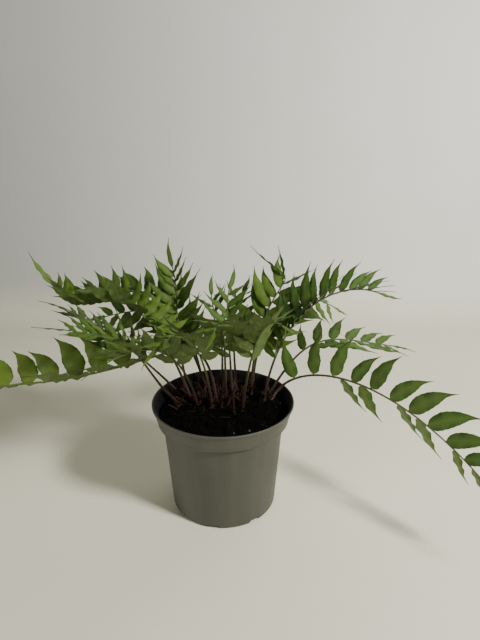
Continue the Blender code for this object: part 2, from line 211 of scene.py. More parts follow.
@dataclass(frozen=True)
class Frond:
    """One frond, laid along a Bezier curve whose points are in millimetres."""
    name: str
    foot: tuple      # x and y where it leaves the compost
    rise: tuple      # handle that the stalk heads for
    reach: tuple     # handle that the tip comes from
    tip: tuple
    bare: float      # share of the length that is bare stalk
    pairs: int       # pairs of leaflets, set alternately
    leaflet: float   # longest leaflet, in millimetres
    breadth: float   # width of a leaflet as a share of its length
    lift: float      # degrees that the two rows rise out of the flat
    roll: float      # degrees that the leafy part turns about its rachis
    spread: float    # degrees between the first leaflets and the rachis
    shingle: float   # degrees that each leaflet turns about its own length
    end: float       # length of the last leaflet as a share of the longest
    youth: float     # from 0, old and dark green, to 1, young and yellow-green
    lost: tuple = ()  # numbers of the leaflets that have dropped off


FRONDS = (
    Frond("right_low", (46, 16), (66, 44, 128), (150, -10, 143), (214, -98, 68),
          0.115, 11, 48, 0.34, -18, 104, 90, 12, 0.62, 0.1, (1, 3, 9, 15)),
    Frond("left_low", (-6, 7), (-18, 4, 213), (-47, -1, 108), (-259, 10, 113),
          0.36, 8, 51, 0.42, 40, -12, 86, 0, 0.62, 0.75),
    Frond("left_up", (-34, 26), (-49, 29, 168), (-40, 42, 192), (-48, 48, 217),
          0.30, 10, 43, 0.27, 22, -52, 66, -15, 0.6, 0.2),
    Frond("right_high", (38, 12), (51, 11, 201), (110, 15, 212), (139, 20, 200),
          0.26, 14, 42, 0.25, 46, 16, 66, 16, 0.7, 0.05),
    Frond("left_high", (-30, 12), (-82, 12, 260), (-116, 15, 157), (-148, 19, 205),
          0.38, 16, 37, 0.33, 54, -8, 106, -30, 1.15, 0.4),
    Frond("right_up", (26, 26), (30, 35, 208), (75, 46, 200), (52, 52, 213),
          0.34, 8, 46, 0.27, 15, 0, 76, -18, 0.85, 0.25),
    Frond("front", (2, 10), (3, -6, 172), (2, -36, 203), (-4, -60, 192),
          0.48, 7, 36, 0.30, 16, 0, 70, 16, 0.62, 0.2),
    Frond("front_left", (-24, 4), (-36, -8, 165), (-62, -28, 172), (-90, -42, 160),
          0.42, 8, 38, 0.34, 35, 20, 84, 16, 0.62, 0.3),
    Frond("front_mid", (-10, 0), (-16, -16, 170), (-28, -42, 195), (-46, -60, 180),
          0.48, 7, 35, 0.30, 18, 0, 70, 16, 0.62, 0.2),
    Frond("front_right", (18, 2), (25, -8, 160), (34, -30, 198), (48, -50, 194),
          0.42, 8, 34, 0.30, 28, 0, 68, 16, 0.62, 0.25),
    Frond("left_mid", (-43, 27), (-79, 25, 139), (-120, 33, 168), (-147, 42, 176),
          0.38, 8, 36, 0.28, 5, 8, 54, 8, 0.9, 0.12),
    Frond("right_mid", (44, 26), (81, 34, 164), (101, 44, 148), (165, 44, 139),
          0.36, 6, 40, 0.30, 12, 10, 72, 8, 0.6, 0.0),
    Frond("left_inner", (-51, 18), (-95, 11, 165), (-70, 2, 159), (-129, -15, 177),
          0.38, 8, 36, 0.32, 16, -10, 70, 16, 0.8, 0.15),
    Frond("left_back", (-16, 32), (-56, 48, 214), (-80, 58, 184), (-103, 66, 190),
          0.36, 7, 40, 0.34, 40, -15, 76, -14, 0.7, 0.2),
    Frond("centre", (8, 20), (6, 19, 161), (1, 26, 190), (6, 34, 200),
          0.38, 6, 34, 0.28, 20, 0, 62, -30, 0.7, 0.05),
    Frond("centre_left", (-3, 38), (2, 44, 171), (-11, 54, 158), (-13, 68, 184),
          0.38, 5, 34, 0.28, 25, 0, 65, -30, 0.7, 0.15),
    Frond("centre_back", (12, 38), (6, 46, 178), (11, 58, 173), (18, 74, 186),
          0.38, 5, 34, 0.28, 25, 0, 65, -30, 0.7, 0.15),
    Frond("back_right", (28, 42), (34, 56, 185), (80, 70, 190), (112, 78, 168),
          0.36, 6, 38, 0.34, -25, 30, 80, -14, 0.62, 0.15),
    Frond("back_left", (-22, 46), (-34, 62, 178), (-72, 74, 172), (-124, 80, 157),
          0.36, 7, 37, 0.33, 4, -50, 76, 8, 0.62, 0.05),
)


# Settings

def colour(name, description, default):
    """A colour setting."""
    return FloatVectorProperty(
        name=name, description=description, default=default, size=3, min=0, max=1, subtype="COLOR"
    )


class FernPotSettings(PropertyGroup):
    """The moulded pot."""
    outside: colour("Outside", "Colour of the outer wall", (0.049, 0.0495, 0.038))
    inside: colour("Inside", "Colour of the inner wall", (0.003, 0.003, 0.003))
    segments: IntProperty(name="Segments", description="Faces round the pot", default=160, min=24)


class FernCompostSettings(PropertyGroup):
    """The compost and what lies in it."""
    peat: colour("Peat", "Colour of the peat", (0.0017, 0.0015, 0.0010))
    fleck: colour("Flecks", "Colour of the pale flecks", (0.06, 0.06, 0.05))
    fibre: colour("Fibres", "Colour of old stalks and scales", (0.038, 0.017, 0.007))
    roughness: FloatProperty(
        name="Roughness", description="Height of the crumbs", default=1.3 * MM, min=0, unit="LENGTH"
    )
    crumbs: IntProperty(name="Crumbs", description="Loose crumbs on top", default=1500, min=0)
    fibres: IntProperty(name="Fibres", description="Loose fibres on top", default=40, min=0)
    stubs: IntProperty(name="Old stalks", description="Stubs of old stalks", default=46, min=0)


class FernFrondSettings(PropertyGroup):
    """The leaflets and their stalks."""
    old: colour("Old leaflet", "Upper face of an old leaflet", (0.027, 0.082, 0.005))
    young: colour("Young leaflet", "Upper face of a young leaflet", (0.165, 0.255, 0.024))
    under: colour("Underside", "Underside of a leaflet", (0.092, 0.142, 0.030))
    rib: colour("Midrib", "Midrib and rachis", (0.125, 0.155, 0.048))
    stalk: colour("Stalk", "Foot of a stalk", (0.034, 0.016, 0.008))
    tooth: FloatProperty(name="Teeth", description="Depth of the teeth", default=0.075, min=0, max=0.5)
    ripple: FloatProperty(name="Ripple", description="Height of the margin's waves", default=0.14, min=0)


class FernStageSettings(PropertyGroup):
    """The floor and the light."""
    floor: colour("Floor", "Colour of the floor", (0.88, 0.865, 0.675))
    paint: colour("Wall paint", "Colour of the wall", (0.79, 0.795, 0.775))
    wall: FloatProperty(name="Wall", description="Distance to the wall", default=0.54, unit="LENGTH")
    key: FloatProperty(name="Key light", description="Power at the right", default=21.8, unit="POWER")
    fill: FloatProperty(name="Fill light", description="Power at the left", default=0.55, unit="POWER")
    ambient: FloatProperty(name="Ambient", description="Light from all round", default=0.08, min=0)


# Meshes

def unit(vectors):
    """Vectors scaled to length 1."""
    return vectors / np.linalg.norm(vectors, axis=-1, keepdims=True)


def smooth(low, high, values):
    """3t^2 - 2t^3, where t runs from 0 to 1 as the values run from low to high."""
    t = np.clip((values - low) / (high - low), 0, 1)
    return t * t * (3 - 2 * t)


def between(places, shares, rows):
    """Rows that are given at shares, read at other places by straight lines."""
    return np.stack([np.interp(places, shares, column) for column in rows.T], axis=-1)


def swung(first, second, turn):
    """Two directions turned together by an angle in radians, the first towards the second."""
    cosine, sine = math.cos(turn), math.sin(turn)
    return first * cosine + second * sine, second * cosine - first * sine


def lumps(x, y, cell, seed):
    """Random heights from -1 to 1 on a square lattice, blended between its points by 3t^2 - 2t^3."""
    lattice = np.random.default_rng(seed).uniform(-1, 1, (LATTICE, LATTICE))
    column = np.floor(x / cell).astype(int)
    row = np.floor(y / cell).astype(int)
    across = smooth(0, 1, x / cell - column)
    along = smooth(0, 1, y / cell - row)
    near, far = (
        lattice[column % LATTICE, (row + step) % LATTICE] * (1 - across)
        + lattice[(column + 1) % LATTICE, (row + step) % LATTICE] * across
        for step in (0, 1)
    )
    return near * (1 - along) + far * along


def woven(*values):
    """Arrays or numbers laid side by side along a new last axis."""
    return np.stack(np.broadcast_arrays(*values), axis=-1)


def bearings(count):
    """Bearings in radians, evenly round a circle."""
    return np.arange(count) / count * 2 * math.pi


def level(turns):
    """Level directions at bearings in radians."""
    return woven(np.cos(turns), np.sin(turns), 0)


def band(rings, sides):
    """The four-sided faces between rings of points that are numbered ring by ring."""
    ring = np.arange(rings - 1)[:, None, None] + (0, 0, 1, 1)
    side = np.arange(sides)[:, None] + (0, 1, 1, 0)
    return (ring * sides + side % sides).reshape(-1, 4)


def tubes(name, grids, ends, across=None, tones=None):
    """A mesh of closed tubes. Grids holds rings of points, counted (tube, ring, side, axis), which
    run anticlockwise seen from the tube's far end; ends holds the two points that close each tube.
    The map "shape" runs along a tube in U and round it in V, and "tone" holds one value a tube."""
    count, rings, sides, _ = grids.shape
    across = np.arange(sides + 1) / sides if across is None else across
    along = np.linspace(0, 1, rings)
    low, high = along[:-1, None], along[1:, None]
    left, right = across[:-1], across[1:]
    quads = band(rings, sides)
    quad_map = woven(low, left, low, right, high, right, high, left)
    side = np.arange(sides)
    follow = (side + 1) % sides
    poles = rings * sides
    last = poles - sides
    caps = np.concatenate([woven(poles, follow, side), woven(poles + 1, last + side, last + follow)])
    middle = (left + right) / 2
    cap_map = np.concatenate([woven(0, middle, 0, right, 0, left), woven(1, middle, 1, left, 1, right)])
    shift = (np.arange(count) * (poles + 2))[:, None, None]
    corners = np.concatenate([(quads + shift).ravel(), (caps + shift).ravel()])
    corner_counts = np.repeat((4, 3), (count * len(quads), count * len(caps)))
    starts = np.cumsum(corner_counts) - corner_counts
    coords = np.concatenate([np.tile(quad_map.ravel(), count), np.tile(cap_map.ravel(), count)])
    points = np.concatenate([grids.reshape(count, -1, 3), ends], axis=1).reshape(-1, 3)
    mesh = bpy.data.meshes.new(name)
    mesh.vertices.add(len(points))
    mesh.vertices.foreach_set("co", points.ravel().astype(np.float32))
    mesh.loops.add(len(corners))
    mesh.loops.foreach_set("vertex_index", corners.astype(np.int32))
    mesh.polygons.add(len(starts))
    mesh.polygons.foreach_set("loop_start", starts.astype(np.int32))
    mesh.update(calc_edges=True)
    mesh.uv_layers.new(name="shape").data.foreach_set("uv", coords.astype(np.float32))
    tones = np.zeros(count) if tones is None else tones
    tone = mesh.attributes.new("tone", "FLOAT", "POINT")
    tone.data.foreach_set("value", np.repeat(tones, poles + 2).astype(np.float32))
    return mesh


def swept(name, paths, radii, sides, tones=None, flat=1.0):
    """Closed round tubes along paths, counted (path, station, axis): circles of the given radii, set
    square to the path's direction, flattened by flat, and closed by a point at each end."""
    headings = unit(np.gradient(paths, axis=1))
    guide = np.where(np.abs(headings[:, :1, 2:]) > 0.9, (1.0, 0.0, 0.0), (0.0, 0.0, 1.0))
    right = unit(np.cross(headings, np.broadcast_to(guide, paths.shape)))
    up = np.cross(headings, right)
    turn = bearings(sides)[:, None]
    circle = right[:, :, None] * np.cos(turn) + up[:, :, None] * np.sin(turn) * flat
    grids = paths[:, :, None] + circle * radii[:, :, None, None]
    ends = np.stack([
        paths[:, 0] - headings[:, 0] * radii[:, :1] * 0.5,
        paths[:, -1] + headings[:, -1] * radii[:, -1:] * 0.5,
    ], axis=1)
    return tubes(name, grids, ends, tones=tones)


def turned(name, profile, sides, lift=None):
    """A profile of radius and height pairs, from the lower pole round to the other, turned about Z.
    Lift, if given, works out each point's height from its x, y and z."""
    radii, heights = profile[1:-1].T
    turn = bearings(sides)
    x = radii[:, None] * np.cos(turn)
    y = radii[:, None] * np.sin(turn)
    z = np.broadcast_to(heights[:, None], x.shape)
    if lift is not None:
        z = lift(x, y, z)
    poles = np.array([[(0, 0, profile[0, 1]), (0, 0, z[-1].mean())]])
    return tubes(name, woven(x, y, z)[None], poles)


def rounded(corners, radius, steps=CORNER_STEPS):
    """A path whose corners are replaced by short parabolas that start and end radius away, or half
    way to the next corner if that is nearer."""
    corners = np.array(corners, float)
    before, after = (
        np.minimum(radius, np.linalg.norm(way, axis=1) / 2)[:, None, None] * unit(way)[:, None]
        for way in (corners[:-2] - corners[1:-1], corners[2:] - corners[1:-1])
    )
    t = np.linspace(0, 1, steps + 1)[None, :, None]
    arcs = corners[1:-1, None] + before * (1 - t) ** 2 + after * t ** 2
    return np.concatenate([corners[:1], arcs.reshape(-1, 2), corners[-1:]])


def linked(name, data):
    """A new object in the scene."""
    thing = bpy.data.objects.new(name, data)
    bpy.context.scene.collection.objects.link(thing)
    return thing


def put(mesh, node=None, material=None):
    """Makes a mesh a piece that rides on the body, takes a material if one is given and stands for a
    node, whose part it hides.
    """
    if material:
        mesh.materials.append(material)
    mesh.shade_smooth()
    mesh.set_sharp_from_angle(angle=math.radians(SHARP_ANGLE))
    piece = linked(mesh.name, mesh)
    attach(piece, BODY)
    if node:
        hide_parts(node)


# Materials

def math_node(operation, reflected=False):
    """A method that adds a Math node on the number and another value, which is first if reflected."""
    def method(self, *others):
        values = (*others, self) if reflected else (self, *others)
        return self.recipe.math(operation, *values)
    return method


class Number:
    """A socket's value in a Python expression: each operator adds a Math node."""

    def __init__(self, recipe, socket):
        self.recipe = recipe
        self.socket = socket

    __add__ = __radd__ = math_node("ADD")
    __sub__ = math_node("SUBTRACT")
    __rsub__ = math_node("SUBTRACT", reflected=True)
    __mul__ = __rmul__ = math_node("MULTIPLY")
    __gt__ = math_node("GREATER_THAN")
    __lt__ = math_node("LESS_THAN")
    __abs__ = math_node("ABSOLUTE")

    def ramp(self, low, high):
        """From 0 at low to 1 at high, with soft ends."""
        settings = {"interpolation_type": "SMOOTHSTEP"}
        return self.recipe.add("ShaderNodeMapRange", settings, {0: self, 1: low, 2: high})


class Recipe:
    """A node material in the making. Its place is the point on the object, in metres."""

    def __init__(self, name, specular):
        self.material = bpy.data.materials.new(name)
        self.material.use_nodes = True
        self.tree = self.material.node_tree
        self.shader = self.tree.nodes["Principled BSDF"]
        self.shader.inputs["Specular IOR Level"].default_value = specular
        self.place = self.add("ShaderNodeTexCoord", {}, {}, "Object")

    def add(self, kind, settings, inputs, output=0):
        """A node of a kind, with its settings made first and then its sockets' values or links."""
        node = self.tree.nodes.new(kind)
        for key, value in settings.items():
            setattr(node, key, value)
        for key, value in inputs.items():
            if isinstance(value, Number):
                self.tree.links.new(value.socket, node.inputs[key])
            else:
                node.inputs[key].default_value = value
        return Number(self, node.outputs[output])

    def math(self, operation, *values):
        """A Math node on these values."""
        return self.add("ShaderNodeMath", {"operation": operation}, dict(enumerate(values)))

    def noise(self, scale, detail, place=None):
        """Noise about 0.5, of a scale in waves a metre."""
        inputs = {"Vector": place or self.place, "Scale": scale, "Detail": detail, "Roughness": 0.55}
        return self.add("ShaderNodeTexNoise", {}, inputs)

    def edges(self, scale):
        """Distance to the nearest edge of random cells."""
        inputs = {"Vector": self.place, "Scale": scale}
        return self.add("ShaderNodeTexVoronoi", {"feature": "DISTANCE_TO_EDGE"}, inputs, "Distance")

    def apart(self, vector):
        """The three parts of a vector."""
        node = self.add("ShaderNodeSeparateXYZ", {}, {0: vector}).socket.node
        return [Number(self, socket) for socket in node.outputs]

    def stretched(self, scale):
        """The place scaled along each axis."""
        return self.add("ShaderNodeMapping", {}, {"Vector": self.place, "Scale": scale})

    def tone(self):
        """The value of the piece's own attribute "tone"."""
        return self.add("ShaderNodeAttribute", {"attribute_name": "tone"}, {}, "Fac")

    def shape(self):
        """How far the point is along the piece and round it, from the piece's own map."""
        return self.apart(self.add("ShaderNodeUVMap", {"uv_map": "shape"}, {}))[:2]

    def blend(self, share, low, high):
        """A colour from low to high."""
        low, high = (value if isinstance(value, Number) else (*value, 1) for value in (low, high))
        settings = {"data_type": "RGBA"}
        return self.add("ShaderNodeMix", settings, {0: share, 6: low, 7: high}, 2)

    def coats(self, body, *coats):
        """A colour under coats: each a mask, a colour and how much lighter or darker it is made."""
        for mask, coat, share in coats:
            body = self.blend(mask, body, scaled(coat, share))
        return body

    def finish(self, colour_value, roughness, height, depth):
        """Links the colour, the roughness and a bump of a depth in metres."""
        bump = self.add("ShaderNodeBump", {}, {"Height": height, "Distance": depth, "Strength": 1.0})
        for value, socket in ((colour_value, "Base Color"), (roughness, "Roughness"), (bump, "Normal")):
            self.tree.links.new(value.socket, self.shader.inputs[socket])
        return self.material


def scaled(values, share):
    """A colour made lighter or darker."""
    return tuple(min(1, value * share) for value in values)


def pot_material(look):
    """Taupe moulded plastic with draw marks, a thin line of painted shade, dust and a painted highlight
    along the top of the lip, black inside.
    """
    recipe = Recipe("pot_plastic", 0.5)
    along, _ = recipe.shape()
    x, y, z = recipe.apart(recipe.place)
    cloud = recipe.noise(22, 3)
    streak = recipe.noise(1, 2, recipe.stretched((90, 90, 4)))
    grain = recipe.noise(1400, 2)
    dust = recipe.noise(130, 4).ramp(0.55, 0.8)
    # Painted shade: a thin dark vertical line down the body below the band, on the pot's left side where
    # its shade is deepest.
    painted_shade_line = 1 - abs(recipe.math("ARCTAN2", y, x) - SHADE_LINE_BEARING).ramp(0.006, 0.022)
    # Painted highlight: the top of the lip is made lighter where the light catches its rounded edge.
    lip_highlight = z.ramp(POT_HEIGHT - 1.2 * MM, POT_HEIGHT - 0.3 * MM)
    skin = recipe.coats(
        recipe.blend(cloud.ramp(0.3, 0.7), scaled(look.outside, 0.92), scaled(look.outside, 1.06)),
        (streak.ramp(0.35, 0.7) * 0.6, look.outside, 1.35),
        # The thin line of painted shade.
        (painted_shade_line * (z < BAND_FOOT_HEIGHT) * 0.5, look.outside, 0.3),
        # The painted highlight on the lip.
        (lip_highlight * 0.7, look.outside, 1.7),
        (dust * (z < 90 * MM) * 0.15, look.outside, 1.5),
        (along > LIP_SHARE, look.inside, 1),
    )
    roughness = 0.5 + streak * 0.08 + dust * 0.12
    return recipe.finish(skin, roughness, streak * 0.4 + grain * 0.6, 0.08 * MM)


def compost_material(look):
    """Nearly black moist peat with brown bits."""
    recipe = Recipe("compost_peat", 0.05)
    coarse = recipe.noise(260, 4)
    fine = recipe.noise(1100, 3)
    body = recipe.coats(
        recipe.blend(coarse.ramp(0.35, 0.7), scaled(look.peat, 0.5), scaled(look.peat, 1.7)),
        (recipe.noise(420, 2).ramp(0.58, 0.70) * 0.4, look.fibre, 0.2),
    )
    return recipe.finish(body, 0.8 + fine * 0.2, coarse * 0.6 + fine * 0.4, 1.2 * MM)


def crumb_material(look):
    """Crumbs: peat, bits of bark and, where the tone is high, pale flecks."""
    recipe = Recipe("compost_crumb", 0.08)
    tone = recipe.tone()
    fine = recipe.noise(1500, 3)
    body = recipe.coats(
        recipe.blend(tone.ramp(0.3, 0.9), scaled(look.peat, 0.8), scaled(look.fibre, 0.1)),
        (tone > 0.98, look.fleck, 1),
        (fine.ramp(0.4, 0.8) * 0.4, look.peat, 0.4),
    )
    return recipe.finish(body, 0.82 + fine * 0.15, fine, 0.4 * MM)


def fibre_material(look):
    """Dry reddish brown stalk, fibre and scale."""
    recipe = Recipe("old_stalk", 0.2)
    grain = recipe.noise(1, 3, recipe.stretched((1500, 1500, 160)))
    body = recipe.coats(
        recipe.blend(recipe.tone(), scaled(look.fibre, 0.35), scaled(look.fibre, 1.3)),
        (grain.ramp(0.45, 0.75) * 0.6, look.fibre, 0.25),
    )
    return recipe.finish(body, 0.6 + grain * 0.3, grain, 0.3 * MM)


def blade_material(look):
    """A leathery leaflet: dark and glossy above with a paler midrib, dull olive below, tip brown."""
    recipe = Recipe("fern_blade", 0.35)
    along, around = recipe.shape()
    turns = around * 2
    off_rib = abs((turns - recipe.math("FLOOR", turns)) * 2 - 1)
    middle = 1 - off_rib
    above = around < 0.5
    tone = recipe.tone()
    cloud = recipe.noise(60, 3)
    mottle = recipe.noise(420, 3)
    veins = recipe.math("SINE", (along - off_rib * 0.09) * 150)
    upper = recipe.coats(
        recipe.blend(tone + (cloud - 0.5) * 0.25, look.old, look.young),
        (middle.ramp(0.1, 0.9) * 0.35, look.young, 0.8),
        (off_rib.ramp(0.72, 1.0) * 0.5, look.old, 0.6),
        (veins.ramp(0.4, 1.0) * 0.10, look.young, 0.8),
        (mottle.ramp(0.5, 0.8) * 0.25, look.old, 0.7),
    )
    lower = recipe.coats(
        recipe.blend(tone * 0.5 + cloud * 0.5, scaled(look.under, 0.6), scaled(look.under, 1.2)),
        (mottle.ramp(0.45, 0.8) * 0.25, look.under, 0.6),
    )
    body = recipe.coats(
        recipe.blend(above, lower, upper),
        (middle.ramp(0.90, 0.98) * (1 - along * 0.6) * 0.5, look.rib, 1),
        (along.ramp(0.80, 0.97) * 0.9, look.stalk, 1.2),
        ((1 - along.ramp(0.0, 0.05)) * 0.7, look.stalk, 1.4),
    )
    roughness = 0.66 - above * 0.22 + mottle * 0.10
    height = veins * 0.25 + recipe.edges(900).ramp(0.0, 0.12) * 0.35 + cloud * 0.4
    return recipe.finish(body, roughness, height, 0.22 * MM)


def stalk_material(look):
    """Stalk and rachis: dark reddish brown at the foot, tan, then green towards the tip."""
    recipe = Recipe("fern_stalk", 0.45)
    along, _ = recipe.shape()
    mottle = recipe.noise(520, 3)
    grain = recipe.noise(2400, 2)
    tan = recipe.blend(recipe.tone(), scaled(look.rib, 0.62), look.rib)
    body = recipe.coats(
        recipe.blend((along + (mottle - 0.5) * 0.15).ramp(0.12, 0.62), look.stalk, tan),
        (mottle.ramp(0.55, 0.75) * 0.5, look.stalk, 1.1),
    )
    return recipe.finish(body, 0.45 + mottle * 0.2, mottle * 0.5 + grain * 0.5, 0.2 * MM)


def stage_material(look):
    """Off-white board with faint stains, warm on the floor, neutral up the wall, with painted shade
    making the wall darker to its left.
    """
    recipe = Recipe("stage_board", 0.25)
    cloud = recipe.noise(3.5, 4)
    speck = recipe.noise(160, 3)
    x, _, z = recipe.apart(recipe.place)
    # Painted shade and light: the wall is made darker to the left and lighter to the right, as if lit
    # from the right.
    paint = recipe.blend(x.ramp(-0.6, 0.5), scaled(look.paint, 0.76), scaled(look.paint, 1.14))
    body = recipe.coats(
        recipe.blend(z.ramp(0.01, 0.08), look.floor, paint),
        (cloud.ramp(0.3, 0.75) * 0.3, look.floor, 0.8),
        (speck.ramp(0.62, 0.85) * 0.12, look.floor, 0.8),
    )
    return recipe.finish(body, 0.6 + cloud * 0.2, speck, 0.2 * MM)


# The layout of the fronds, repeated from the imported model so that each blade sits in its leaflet

def centreline(frond):
    """Stations along the frond: shares of the length, points, headings, upper faces and length."""
    ends = np.array([(*frond.foot, SOIL_TOP / MM), frond.rise, frond.reach, frond.tip]) * MM
    t = np.linspace(0, 1, CURVE_STEPS + 1)[:, None]
    weights = ((1 - t) ** 3, 3 * (1 - t) ** 2 * t, 3 * (1 - t) * t ** 2, t ** 3)
    curve = sum(weight * end for weight, end in zip(weights, ends))
    travel = np.concatenate([[0], np.cumsum(np.linalg.norm(np.diff(curve, axis=0), axis=1))])
    shares = np.linspace(0, 1, STATIONS)
    points = between(shares * travel[-1], travel, curve)
    headings = unit(np.gradient(points, axis=0))
    outward = (ends[3] - ends[0]) * (1, 1, 0)
    sides = np.cross(unit(outward), (0, 0, 1))
    sides = unit(sides - headings * (headings @ sides)[:, None])
    return shares, points, headings, np.cross(sides, headings), travel[-1]


def frame_on(frond, line, share):
    """Point, heading, upper direction and side of the frond at a share of its length."""
    shares, points, headings, uppers, _ = line
    point, heading, upper = (between(share, shares, rows) for rows in (points, headings, uppers))
    heading = unit(heading)
    upper = unit(upper - heading * (upper @ heading))
    side = np.cross(heading, upper)
    progress = (share / frond.bare - ROLL_START) / (ROLL_END - ROLL_START)
    roll = math.radians(frond.roll) * min(1, max(0, progress))
    return point, heading, *swung(upper, side, roll)


def half_width(x):
    """Half width of a leaflet as a share of its width: a full shoulder and a drawn-out tip."""
    return WIDTH_SCALE * x ** SHOULDER_POWER * (1 - x) ** TAPER_POWER


def leaflet_place(frond, line, draws, index, turn, swing, cutback):
    """Leaflet number index: its base, its axis, across and normal directions, length and width."""
    count = 2 * frond.pairs
    share = (index + FIRST_PLACE) / (count + SPARE_PLACES)
    terminal = index == count
    along = TERMINAL_PLACE if terminal else frond.bare + (1 - frond.bare) * share
    point, heading, upper, side = frame_on(frond, line, along)
    hand = 1 if index % 2 else -1
    length_draw, swing_draw, turn_draw, twist_draw = draws[index]
    length = frond.leaflet * MM * cutback * (1 + LENGTH_SPREAD * length_draw)
    swing += SWING_SPREAD * swing_draw
    turn += TURN_SPREAD * turn_draw
    if terminal:
        length *= frond.end
        angle = math.radians(swing)
        lift = math.radians(turn)
    else:
        length *= BASE_LENGTH + LENGTH_GROWTH * share - LENGTH_FALL * share ** FALL_POWER
        angle = math.radians(frond.spread - (frond.spread - TIP_ANGLE) * share ** ANGLE_POWER + swing)
        lift = math.radians(frond.lift + turn)
    flat, normal = swung(side * hand, upper, lift)
    axis, _ = swung(heading, flat, angle)
    normal = unit(normal - axis * (normal @ axis))
    across = np.cross(normal, axis)
    if across @ heading < 0:
        across = -across
    tilt = math.radians((0 if terminal else frond.shingle) + TWIST_SPREAD * twist_draw)
    across, normal = swung(across, normal, tilt)
    width = length * frond.breadth * (TERMINAL_BREADTH if terminal else 1)
    return point, axis, across, normal, length, width


def leaflet_solid(place, widen=0.0, shift=0.0):
    """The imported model's leaflet: three-sided sections at each of RINGS, then a tip."""
    point, axis, across, normal, length, width = place
    point = point + normal * shift
    x = RINGS[:, None]
    neck = x == 0
    middle = point + (axis * x + across * HOOK * x ** HOOK_POWER - normal * SAG * x ** 2) * length
    half = np.where(neck, LEAFLET_NECK, width * half_width(x)) + widen
    crest = np.where(neck, LEAFLET_NECK, LEAFLET_CREST)
    wave = np.where(neck, 0, WAVE * (-1) ** np.arange(len(RINGS))[:, None])
    side = across * half + normal * wave
    rings = np.stack([middle + side, middle - side, middle + normal * crest], axis=1)
    tip = point + axis * (length + widen) + (across * HOOK - normal * SAG) * length
    return np.concatenate([rings.reshape(-1, 3), tip[None]])


def leaflet_faces():
    """The faces of leaflet_solid: its foot, its sides as triangles, and its tip."""
    sides = band(len(RINGS), 3)
    last = 3 * len(RINGS) - 3
    tip = np.array([(0, 1, 3), (1, 2, 3), (2, 0, 3)]) + last
    return np.concatenate([[(2, 1, 0)], sides[:, [0, 1, 2]], sides[:, [0, 2, 3]], tip]).tolist()


LEAFLET_FACES = leaflet_faces()


def tree_of(points, faces):
    """A search tree of a mesh, in millimetres so that small faces aren't taken for empty."""
    return BVHTree.FromPolygons((points / MM).tolist(), faces)


def stalk_tree(line):
    """A search tree of a four-sided tube round a frond's rachis, widened by the clearance."""
    shares, points, headings, uppers, _ = line
    sides = np.cross(headings, uppers)
    radii = STALK_RADIUS + (RACHIS_TIP_RADIUS - STALK_RADIUS) * shares + CLEARANCE
    reach = math.sqrt(2) * radii[:, None]
    corners = np.stack([points + reach * way for way in (sides, uppers, -sides, -uppers)], axis=1)
    return tree_of(corners.reshape(-1, 3), band(STATIONS, 4).tolist())


def is_clear(place, obstacles):
    """Whether a leaflet, and the same leaflet a little above and below, misses every obstacle."""
    for shift in (0, CLEARANCE, -CLEARANCE):
        tree = tree_of(leaflet_solid(place, CLEARANCE, shift), LEAFLET_FACES)
        if any(tree.overlap(other) for other in obstacles):
            return False
    return True


def clear_place(frond, line, draws, index, obstacles):
    """The first of the allowed turns, swings and cutbacks that keeps this leaflet clear."""
    for cutback, swing, turn in product(CUTBACKS, SWINGS, TURNS):
        place = leaflet_place(frond, line, draws, index, turn, swing, cutback)
        if is_clear(place, obstacles):
            return place
    return None


def settle_leaflets(lines):
    """Bend every leaflet clear of the other fronds; one with no room is left out."""
    stalks = {frond.name: stalk_tree(line) for frond, line in lines.items()}
    settled = {}
    leaves = []
    for number, (frond, line) in enumerate(lines.items()):
        count = 2 * frond.pairs + 1
        draws = np.random.default_rng(number + 1).standard_normal((count, 4))
        obstacles = [tree for name, tree in stalks.items() if name != frond.name] + leaves
        kept = [index for index in range(count) if index not in frond.lost]
        found = [clear_place(frond, line, draws, index, obstacles) for index in kept]
        settled[frond] = [place for place in found if place is not None]
        leaves += [tree_of(leaflet_solid(place), LEAFLET_FACES) for place in settled[frond]]
    return settled


# The pieces

def spines(points, axes, across, normals, lengths, x):
    """The leaflets' middle lines, and their directions ahead, up and to the right. A line is the
    base plus axis times x, bent sideways by HOOK times x to HOOK_POWER and near the tip by
    TIP_BEND more, and bent down by SAG times x squared."""
    middle = points[:, None] + lengths[:, None, None] * (
        axes[:, None] * x
        + across[:, None] * HOOK * (x ** HOOK_POWER + TIP_BEND * smooth(0.7, 1.0, x))
        - normals[:, None] * SAG * x ** 2
    )
    ahead = unit(np.gradient(middle, axis=1))
    over = unit(normals[:, None] - ahead * np.einsum("ij,ikj->ik", normals, ahead)[..., None])
    return middle, ahead, over, np.cross(over, ahead)


